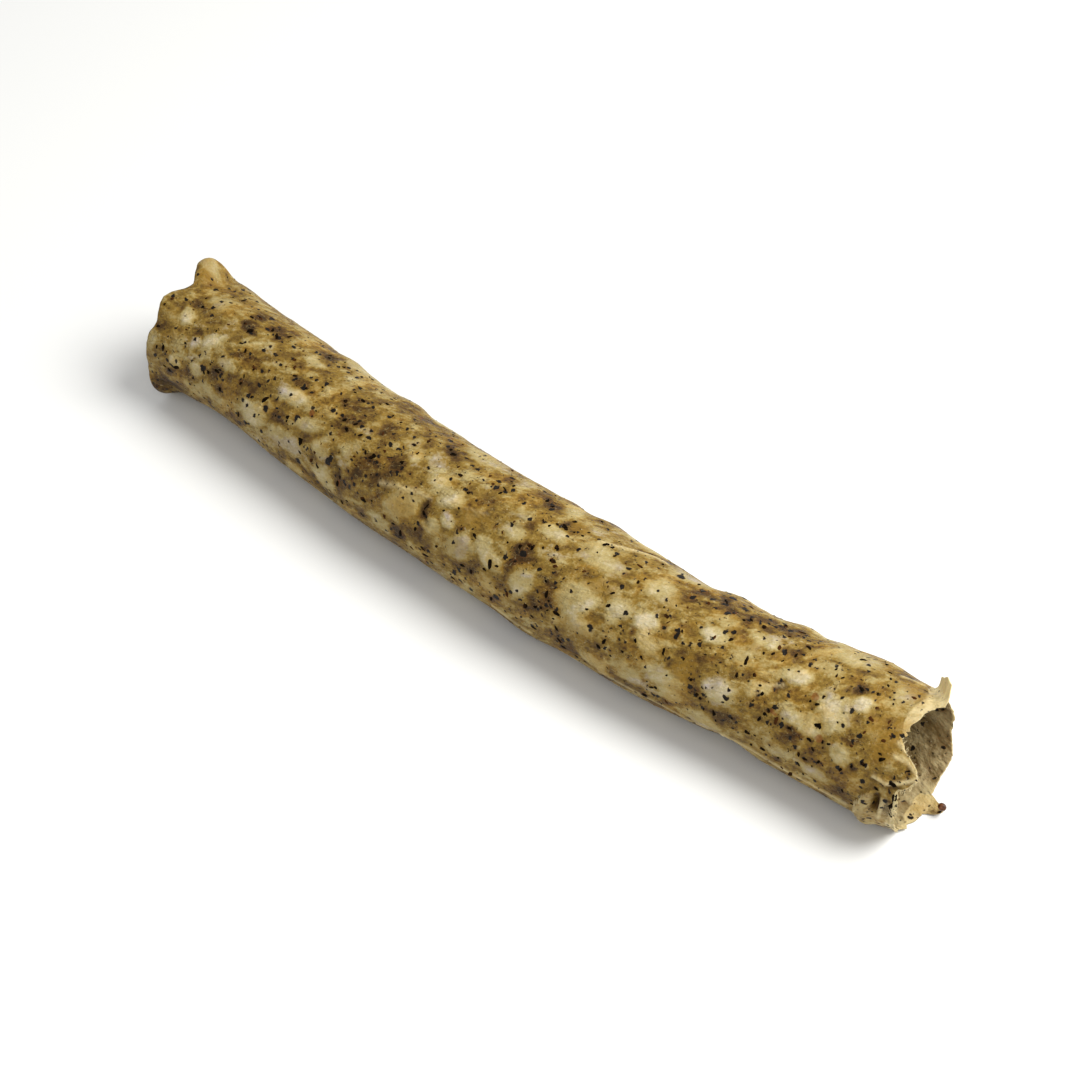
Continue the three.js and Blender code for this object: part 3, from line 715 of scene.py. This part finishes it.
class SAUSAGE_OT_pepper(bpy.types.Operator):
    """Scatter the cracked pepper that shows at the surface"""

    bl_idname = "sausage.pepper"
    bl_label = "Pepper"

    def execute(self, context):
        settings = context.scene.sausage_trim
        tree = skin_tree()
        chance = np.random.default_rng(5)
        pieces = list(PEPPER)
        for _ in range(settings.hidden):
            pieces.append((chance.uniform(3, 153), chance.uniform(138, 325), 0.4 + 0.9 * chance.random() ** 1.6))
        for _ in range(settings.fine):
            pieces.append((chance.uniform(2, 156), chance.uniform(-40, 138), 0.35 + 0.4 * chance.random() ** 2))
        shape = bmesh.new()
        for along, angle, size in pieces:
            point, normal = on_skin(tree, along, angle)
            turn = normal.to_track_quat("Z", "Y").to_matrix().to_4x4()
            spin = Matrix.Rotation(chance.uniform(0, 6.3), 4, "Z")
            long, wide = size * chance.uniform(0.5, 0.8), size * chance.uniform(0.3, 0.5)
            scale = Matrix.Diagonal((long * MM, wide * MM, 0.13 * MM, 1))
            seat = Matrix.Translation(point - normal * 0.07 * MM) @ turn @ spin @ scale
            made = bmesh.ops.create_icosphere(shape, subdivisions=2, radius=1, matrix=seat)
            for vertex in made["verts"]:
                push = noise.noise(vertex.co * 2600 + Vector((along, 0, 0)))
                vertex.co = point + (vertex.co - point) * (1 + 0.75 * push)
                vertex.co.z = max(vertex.co.z, 0.02 * MM)
        mesh = to_mesh("pepper_flecks", shape)
        new_object("pepper_flecks", mesh, pepper_material(settings))
        return {"FINISHED"}


class SAUSAGE_OT_seed(bpy.types.Operator):
    """Add the seed stuck to the tip of the tongue"""

    bl_idname = "sausage.seed"
    bl_label = "Seed"

    def execute(self, context):
        settings = context.scene.sausage_trim
        shape = bmesh.new()
        bmesh.ops.create_icosphere(shape, subdivisions=3, radius=0.72 * MM)
        for vertex in shape.verts:
            way = vertex.co.normalized()
            dent = 0.34 * math.exp(-(((way - Vector((0.25, -0.62, 0.74)).normalized()).length / 0.5) ** 2))
            vertex.co *= 1 - dent + 0.06 * noise.noise(way * 3.5)
        bmesh.ops.scale(shape, vec=(1, 0.86, 0.92), verts=shape.verts)
        bmesh.ops.translate(shape, vec=Vector(body.spot(162.9, -95.0, 8.1) * MM), verts=shape.verts)
        mesh = to_mesh("seed", shape)
        new_object("seed", mesh, seed_material(settings))
        return {"FINISHED"}


class SAUSAGE_OT_fibres(bpy.types.Operator):
    """Add the loose fibres along the torn edge"""

    bl_idname = "sausage.fibres"
    bl_label = "Fibres"

    def execute(self, context):
        settings = context.scene.sausage_trim
        chance = np.random.default_rng(8)
        curve = bpy.data.curves.new("torn_fibres", "CURVE")
        curve.dimensions = "3D"
        curve.bevel_depth = 1.0
        curve.bevel_resolution = 1
        for number in range(settings.fibres):
            arc, lengths = next(row[1:] for row in FIBRES if number < settings.fibres * row[0])
            angle, length = chance.uniform(*arc), chance.uniform(*lengths)
            along = float(round_table(RIM, angle)) - 0.5
            out = float(body.swollen(np.array([157.5]), np.array([angle]))[0]) - 0.2 + chance.uniform(-0.15, 0.1)
            spline = curve.splines.new("POLY")
            pieces = 5
            spline.points.add(pieces)
            lean, drift = chance.uniform(0.2, 1.1), chance.uniform(-5, 5)
            for step, point in enumerate(spline.points):
                share = step / pieces
                where = body.spot(
                    along + length * share * math.cos(lean * share) + 0.1 * chance.normal() * share,
                    angle + drift * share * share + chance.normal() * share,
                    out + length * share * math.sin(lean * share) * 0.45)
                where[2] = min(max(where[2], 0.2), 24)
                point.co = (*(where * MM), 1)
                point.radius = (0.085 * (1 - share) + 0.022) * MM
        holder = bpy.data.objects.new("torn_fibres_line", curve)
        bpy.context.scene.collection.objects.link(holder)
        graph = context.evaluated_depsgraph_get()
        mesh = bpy.data.meshes.new_from_object(holder.evaluated_get(graph))
        bpy.data.objects.remove(holder)
        mesh.name = "torn_fibres"
        mesh.materials.clear()
        new_object("torn_fibres", mesh, fibre_material(context.scene.sausage_casing))
        return {"FINISHED"}


class SAUSAGE_OT_stage(bpy.types.Operator):
    """Set up the plain surface, the soft lights and the camera"""

    bl_idname = "sausage.stage"
    bl_label = "Stage"

    def execute(self, context):
        settings = context.scene.sausage_stage
        scene = context.scene
        shape = bmesh.new()
        bmesh.ops.create_grid(shape, x_segments=1, y_segments=1, size=3)
        mesh = to_mesh("stage_floor", shape, False)
        floor = bpy.data.objects.new("stage_floor", mesh)
        scene.collection.objects.link(floor)
        mesh.materials.append(floor_material(settings))

        world = bpy.data.worlds.new("studio")
        world.use_nodes = True
        sky = world.node_tree.nodes["Background"]
        sky.inputs["Color"].default_value = (1, 1, 1, 1)
        sky.inputs["Strength"].default_value = settings.sky
        scene.world = world

        for name, at, size, power in (
            ("key_light", (0.3, 0.18, 0.5), 0.42, settings.key),
            ("fill_light", (0.25, -0.4, 0.6), 0.5, settings.key * 0.22),
        ):
            lamp = bpy.data.lights.new(name, "AREA")
            lamp.shape = "DISK"
            lamp.size = size
            lamp.energy = power
            lamp.color = (1.0, 0.985, 0.95)
            light = bpy.data.objects.new(name, lamp)
            light.location = at
            light.rotation_euler = (-Vector(at)).to_track_quat("-Z", "Y").to_euler()
            scene.collection.objects.link(light)

        camera = bpy.data.cameras.new("camera")
        camera.lens = settings.lens
        camera.sensor_width = 36
        camera.clip_start = 0.01
        azimuth, elevation = math.radians(40), math.radians(47)
        back = Vector((math.sin(azimuth) * math.cos(elevation), -math.cos(azimuth) * math.cos(elevation),
                       math.sin(elevation)))
        # The camera looks at the surface, a little behind the middle of the sausage.
        middle = Vector(body.spot(76.0, 0.0, 0.0) * MM)
        aim = Vector((middle.x, middle.y + 11.16 * MM, 0))
        viewer = bpy.data.objects.new("camera", camera)
        viewer.location = aim + back * settings.distance
        viewer.rotation_euler = back.to_track_quat("Z", "Y").to_euler()
        scene.collection.objects.link(viewer)
        scene.camera = viewer
        scene.view_settings.view_transform = "Standard"
        return {"FINISHED"}


class SAUSAGE_PT_panel(bpy.types.Panel):
    """Everything that makes the sausage"""

    bl_label = "Cured Sausage"
    bl_idname = "SAUSAGE_PT_panel"
    bl_space_type = "VIEW_3D"
    bl_region_type = "UI"
    bl_category = "Sausage"

    def draw(self, context):
        scene = context.scene
        groups = (
            (scene.sausage_casing, ("casing",)),
            (scene.sausage_filling, ("filling",)),
            (scene.sausage_trim, ("pepper", "seed", "fibres")),
            (scene.sausage_stage, ("stage",)),
        )
        for settings, steps in groups:
            column = self.layout.column(align=True)
            for name in settings.bl_rna.properties.keys():
                if name not in ("rna_type", "name"):
                    column.prop(settings, name)
            for step in steps:
                column.operator("sausage." + step)


class Amount:
    """A number that varies over a surface: a socket that arithmetic can be done on."""

    def __init__(self, recipe, socket):
        self.recipe = recipe
        self.socket = socket

    def _sum(self, operation, left, right):
        values = [item.socket if isinstance(item, Amount) else item for item in (left, right)]
        node = self.recipe.node("Math", {"operation": operation}, dict(enumerate(values)))
        return Amount(self.recipe, node.outputs[0])

    def __add__(self, other):
        return self._sum("ADD", self, other)

    def __radd__(self, other):
        return self._sum("ADD", other, self)

    def __sub__(self, other):
        return self._sum("SUBTRACT", self, other)

    def __rsub__(self, other):
        return self._sum("SUBTRACT", other, self)

    def __mul__(self, other):
        return self._sum("MULTIPLY", self, other)

    def __rmul__(self, other):
        return self._sum("MULTIPLY", other, self)


class Recipe:
    """A material and the nodes that make it."""

    def __init__(self, name):
        self.material = bpy.data.materials.new(name)
        self.material.use_nodes = True
        self.tree = self.material.node_tree
        self.shader = self.tree.nodes["Principled BSDF"]
        self.place = self.node("TexCoord").outputs["Object"]

    def node(self, kind, settings=None, values=None):
        """A node of a kind: its settings first, then its sockets' values or links."""
        node = self.tree.nodes.new("ShaderNode" + kind)
        for key, value in (settings or {}).items():
            if key == "stops":
                for stop, (position, colour) in zip(self._stops(node, len(value)), value):
                    stop.position = position
                    stop.color = colour
            else:
                setattr(node, key, value)
        for key, value in (values or {}).items():
            value = value.socket if isinstance(value, Amount) else value
            if isinstance(value, bpy.types.NodeSocket):
                self.tree.links.new(value, node.inputs[key])
            else:
                node.inputs[key].default_value = value
        return node

    def _stops(self, node, count):
        stops = node.color_ramp.elements
        while len(stops) < count:
            stops.new(1)
        return stops

    def amount(self, socket):
        return Amount(self, socket)

    def clouds(self, scale, detail=2, place=None, roughness=0.5):
        """Soft noise from 0 to 1."""
        node = self.node("TexNoise", {}, {
            "Vector": place or self.place, "Scale": scale, "Detail": detail, "Roughness": roughness})
        return self.amount(node.outputs["Fac"])

    def step(self, value, low, high, start=0.0, stop=1.0):
        """A soft step from start to stop as the value goes from low to high."""
        node = self.node("MapRange", {"interpolation_type": "SMOOTHSTEP"}, {
            "Value": value, "From Min": low, "From Max": high, "To Min": start, "To Max": stop})
        return self.amount(node.outputs["Result"])

    def mix(self, share, first, second, blend="MIX"):
        """The first colour, with a share of the second one over it."""
        node = self.node("Mix", {"data_type": "RGBA", "blend_type": blend, "clamp_factor": True}, {
            0: share, 6: self._colour(first), 7: self._colour(second)})
        return node.outputs[2]

    def _colour(self, value):
        return value if isinstance(value, bpy.types.NodeSocket) else (*value, 1.0)[:4]

    def channels(self, name):
        """The four values painted on the vertices under a name."""
        source = self.node("Attribute", {"attribute_name": name})
        parts = self.node("SeparateColor", {}, {"Color": source.outputs["Color"]})
        return [self.amount(s) for s in (*parts.outputs[:3], source.outputs["Alpha"])]

    def jitter(self, scale, size, place=None):
        """The place shaken about by a distance, so that edges drawn from it are ragged."""
        shake = self.node("TexNoise", {}, {"Vector": place or self.place, "Scale": scale, "Detail": 2.0})
        centred = self.vector("SUBTRACT", {0: shake.outputs["Color"], 1: (0.5, 0.5, 0.5)})
        return self.vector("ADD", {0: place or self.place, 1: self.vector("SCALE", {0: centred, "Scale": size})})

    def vector(self, operation, values):
        return self.node("VectorMath", {"operation": operation}, values).outputs[0]

    def ridges(self, scale, width, place):
        """Thin wandering lines."""
        centred = self.clouds(scale, 2, place) - 0.5
        away = self.node("Math", {"operation": "ABSOLUTE"}, {0: centred}).outputs[0]
        return self.step(self.amount(away), width, width * 0.2)

    def flecks(self, place, scale, size, keep):
        """Scattered flecks: their middle, and a wider soft ring round each."""
        cells = self.node("TexVoronoi", {}, {"Vector": place, "Scale": scale})
        chance = self.node("SeparateColor", {}, {"Color": cells.outputs["Color"]})
        kept = self.step(self.amount(chance.outputs[0]) + keep, 0.99, 1.01)
        span = self.amount(chance.outputs[1]) * size
        reach = self.amount(cells.outputs["Distance"]) - span
        return self.step(reach, 0.02, -0.03) * kept, self.step(reach, 0.2, -0.02) * kept

    def finish(self, colour, roughness, height=None, constants=None):
        """Join the colour, roughness and relief to the shader, and set its other sockets."""
        self.tree.links.new(colour, self.shader.inputs["Base Color"])
        if isinstance(roughness, Amount):
            self.tree.links.new(roughness.socket, self.shader.inputs["Roughness"])
        else:
            self.shader.inputs["Roughness"].default_value = roughness
        if height is not None:
            bump = self.node("Bump", {}, {"Height": height, "Strength": 1.0, "Distance": 1.0})
            self.tree.links.new(bump.outputs["Normal"], self.shader.inputs["Normal"])
        for name, value in (constants or {}).items():
            self.shader.inputs[name].default_value = value
        return self.material


def shade(colour, *factors):
    """A colour made darker or lighter, in all its channels or in each by its own factor, up to full white."""
    return tuple(min(1, c * k) for c, k in zip(colour, factors * 3 if len(factors) == 1 else factors))


def casing_material(settings):
    r = Recipe("cured_skin")
    fat, white, mince, gold = r.channels("mince")
    film, inside, fold_shading, ridge = r.channels("skin")
    place = r.node("Attribute", {"attribute_name": "grain"})
    grain, stain = place.outputs["Vector"], r.amount(place.outputs["Alpha"])
    ragged = r.jitter(1100, 0.0012)

    broad = r.clouds(110, 2, grain)
    medium = r.clouds(340, 3, grain, 0.6)
    small = r.clouds(950, 4, grain, 0.65)
    fine = r.clouds(2700, 3, None, 0.6)

    # One scale of tone from dark mince to white fat: noise and the listed lumps push it up and down.
    lively = 1 - fat * 0.4
    tone = 0.472 + (broad - 0.5) * 0.4 + ((medium - 0.5) * 0.9 + (small - 0.5) * 0.58) * lively
    tone = tone + (fine - 0.5) * 0.18
    tone = tone + fat * (0.14 + white * 0.17) - mince * 0.18 - stain * 0.09
    meat = tuple(settings.mince)
    tan = tuple(settings.tan)
    pale = tuple(settings.fat)
    stops = (
        (0.16, shade(meat, 0.5)), (0.29, shade(meat, 1.1)),
        (0.395, tuple(a * 0.45 + b * 0.55 for a, b in zip(meat, tan))),
        (0.48, tan), (0.57, tuple(a * 0.45 + b * 0.55 for a, b in zip(tan, pale))), (0.68, pale),
        (0.86, shade(pale, 1.34, 1.46, 2.25)),
    )
    ramp = r.node("ValToRGB", {"stops": [(at, (*c, 1)) for at, c in stops]}, {"Fac": tone})
    colour = ramp.outputs["Color"]

    # Golden stains, and greyer or pinker stretches.
    other = r.clouds(210, 3, r.jitter(300, 0.004, grain))
    colour = r.mix(r.step(other, 0.5, 0.64) * 0.55, colour, (1.12, 0.96, 0.62), "MULTIPLY")
    greyer = r.step(other, 0.44, 0.34) * r.step(tone, 0.42, 0.6)
    colour = r.mix(greyer * 0.8, colour, (0.94, 0.97, 1.5), "MULTIPLY")
    golden = r.step(gold + (medium - 0.5) * 0.9 + (small - 0.5) * 0.5, 0.2, 0.9)
    colour = r.mix(golden * 0.75, colour, tuple(settings.gold))

    # Veins, painted highlights along thin wrinkles, painted shade in the folds' grooves and the cuff's hollow,
    # painted highlights on the fold ridges, and the bare film along the torn edge.
    veins = r.ridges(420, 0.022, r.jitter(500, 0.002, grain)) * r.step(broad, 0.5, 0.62) * (1 - fat * 0.7)
    colour = r.mix(veins * 0.4, colour, meat)
    # Painted highlights: thin pale lines along the raised wrinkles, painted into the colour as glints.
    lines = r.ridges(640, 0.014, r.jitter(700, 0.0015, grain)) * r.step(broad, 0.54, 0.44)
    colour = r.mix(lines * 0.3, colour, shade(pale, 1.2))
    # Painted shade in the fold grooves and in the cuff's hollow.
    colour = r.mix(fold_shading * 0.85, colour, shade(meat, 0.5))
    bare = tuple(settings.film)
    film_colour = r.mix(r.step(small, 0.4, 0.68), bare, shade(bare, 0.7, 0.66, 0.55))
    # Whiteness makes the film paler: the fat's own colour, and painted light on the thumb of skin.
    film_colour = r.mix(white * r.step(film, 0.8, 1.0), film_colour, shade(bare, 1.55))
    film_colour = r.mix(gold * 0.8, film_colour, shade(settings.gold, 1.7))
    colour = r.mix(r.step(film + (small - 0.5) * 0.8, 0.3, 0.8) * 0.85, colour, film_colour)
    # Painted highlight on the fold ridges.
    colour = r.mix(ridge * 0.8, colour, shade(bare, 1.25))

    # Inside the mouth the wall is duller and greyer.
    wall = r.mix(r.step(medium, 0.35, 0.65), (0.16, 0.11, 0.042), (0.36, 0.29, 0.15))
    wall = r.mix(r.step(small, 0.5, 0.72) * 0.6, wall, (0.05, 0.03, 0.011))
    colour = r.mix(inside * (1 - r.step(film, 0.6, 0.95)), colour, wall)

    # Ground pepper: cracked pieces that gather in the dark mince, and finer bits and dust.
    spread = mince * 0.4 + r.step(medium, 0.55, 0.35) * 0.16 - fat * 0.14 + stain * 0.2
    piece, halo = r.flecks(ragged, 430.0, 0.3, spread + 0.22)
    bits, bits_halo = r.flecks(ragged, 900.0, 0.42, spread + 0.35)
    dust = r.flecks(ragged, 1900.0, 0.4, spread + 0.1)[0]
    colour = r.mix((halo + bits_halo * 0.5) * 0.5, colour, shade(meat, 1.3, 0.85, 0.6))
    colour = r.mix(piece + bits + dust * 0.8, colour, (0.005, 0.003, 0.001))
    rusty = r.flecks(r.jitter(900, 0.001), 260.0, 0.2, spread * 0.4 + 0.08)[0]
    colour = r.mix(rusty * 0.6, colour, (0.16, 0.045, 0.008))

    # Tiny painted highlights: pale glints painted into the skin's colour.
    painted_glints = r.step(fine, 0.64, 0.7) * r.step(small, 0.55, 0.66)
    colour = r.mix(painted_glints * 0.6, colour, (0.62, 0.54, 0.38))

    stretched = r.vector("MULTIPLY", {0: grain, 1: (0.35, 1.0, 1.0)})
    wrinkle = r.clouds(1300, 4, stretched, 0.6)
    height = medium * 0.0011 + small * 0.0003 + wrinkle * 0.00022 + fine * 0.00004
    height = height - veins * 0.00004 + lines * 0.00005
    roughness = r.step(medium, 0.3, 0.7, 0.36, 0.52) + mince * 0.08 + fine * 0.08
    return r.finish(colour, roughness, height, {
        "Subsurface Weight": 0.1, "Subsurface Radius": (1.0, 0.6, 0.3), "Subsurface Scale": 0.0007,
        "Specular IOR Level": 0.35, "IOR": 1.3})


def filling_material(settings):
    r = Recipe("cured_mince")
    grey = tuple(settings.colour)
    ragged = r.jitter(900, 0.001)
    medium = r.clouds(260, 4)
    small = r.clouds(1100, 4)
    colour = r.mix(r.step(medium, 0.35, 0.65), grey, shade(grey, 1.5))
    cells = r.node("TexVoronoi", {"feature": "SMOOTH_F1"}, {"Vector": ragged, "Scale": 330.0, "Smoothness": 0.3})
    lump = r.step(r.amount(cells.outputs["Distance"]), 0.45, 0.25)
    colour = r.mix(lump * 0.55, colour, (0.46, 0.38, 0.22))
    colour = r.mix(r.step(small, 0.55, 0.75) * 0.6, colour, (0.1, 0.05, 0.018))
    piece, halo = r.flecks(ragged, 620.0, 0.3, 0.32)
    colour = r.mix(halo * 0.5, colour, (0.1, 0.045, 0.014))
    colour = r.mix(piece, colour, (0.018, 0.011, 0.006))
    return r.finish(colour, r.step(medium, 0.3, 0.7, 0.42, 0.6), small * 0.0003 + medium * 0.0003, {
        "Subsurface Weight": 0.1, "Subsurface Radius": (1.0, 0.5, 0.3), "Subsurface Scale": 0.001})


def pepper_material(settings):
    r = Recipe("cracked_pepper")
    grain = r.clouds(2400, 3)
    kind = r.clouds(160, 1)
    colour = r.mix(r.step(grain, 0.5, 0.78), tuple(settings.pepper), (0.03, 0.013, 0.005))
    colour = r.mix(r.step(kind, 0.58, 0.62) * 0.6, colour, (0.07, 0.024, 0.006))
    roughness = r.step(grain, 0.3, 0.7, 0.5, 0.75)
    return r.finish(colour, roughness, grain * 0.00012, {"Specular IOR Level": 0.1, "IOR": 1.15})


def seed_material(settings):
    r = Recipe("seed_husk")
    grain = r.clouds(1400, 3)
    colour = r.mix(r.step(grain, 0.42, 0.66), tuple(settings.seed), shade(settings.seed, 2.6))
    return r.finish(colour, 0.35, grain * 0.0001, {"Specular IOR Level": 0.3})


def fibre_material(settings):
    r = Recipe("torn_fibre")
    grain = r.clouds(900, 2)
    colour = r.mix(r.step(grain, 0.4, 0.7), shade(settings.film, 1.15), shade(settings.film, 0.7))
    return r.finish(colour, r.step(grain, 0.3, 0.7, 0.45, 0.6))


def floor_material(settings):
    r = Recipe("plain_floor")
    pale = tuple(settings.floor)
    colour = r.mix(r.clouds(6, 2), pale, shade(pale, 0.995))
    return r.finish(colour, 0.75, None, {"Specular IOR Level": 0.1})


CLASSES = (
    CasingSettings, FillingSettings, TrimSettings, StageSettings, SAUSAGE_OT_casing, SAUSAGE_OT_filling,
    SAUSAGE_OT_pepper, SAUSAGE_OT_seed, SAUSAGE_OT_fibres, SAUSAGE_OT_stage, SAUSAGE_PT_panel,
)


def register():
    for item in CLASSES:
        bpy.utils.register_class(item)
    bpy.types.Scene.sausage_casing = bpy.props.PointerProperty(type=CasingSettings)
    bpy.types.Scene.sausage_filling = bpy.props.PointerProperty(type=FillingSettings)
    bpy.types.Scene.sausage_trim = bpy.props.PointerProperty(type=TrimSettings)
    bpy.types.Scene.sausage_stage = bpy.props.PointerProperty(type=StageSettings)


def unregister():
    for name in ("casing", "filling", "trim", "stage"):
        delattr(bpy.types.Scene, "sausage_" + name)
    for item in reversed(CLASSES):
        bpy.utils.unregister_class(item)


def main():
    register()
    bpy.ops.sausage.stage()
    bpy.ops.sausage.casing()
    bpy.ops.sausage.filling()
    bpy.ops.sausage.pepper()
    bpy.ops.sausage.seed()
    bpy.ops.sausage.fibres()


if __name__ == "__main__":
    main()
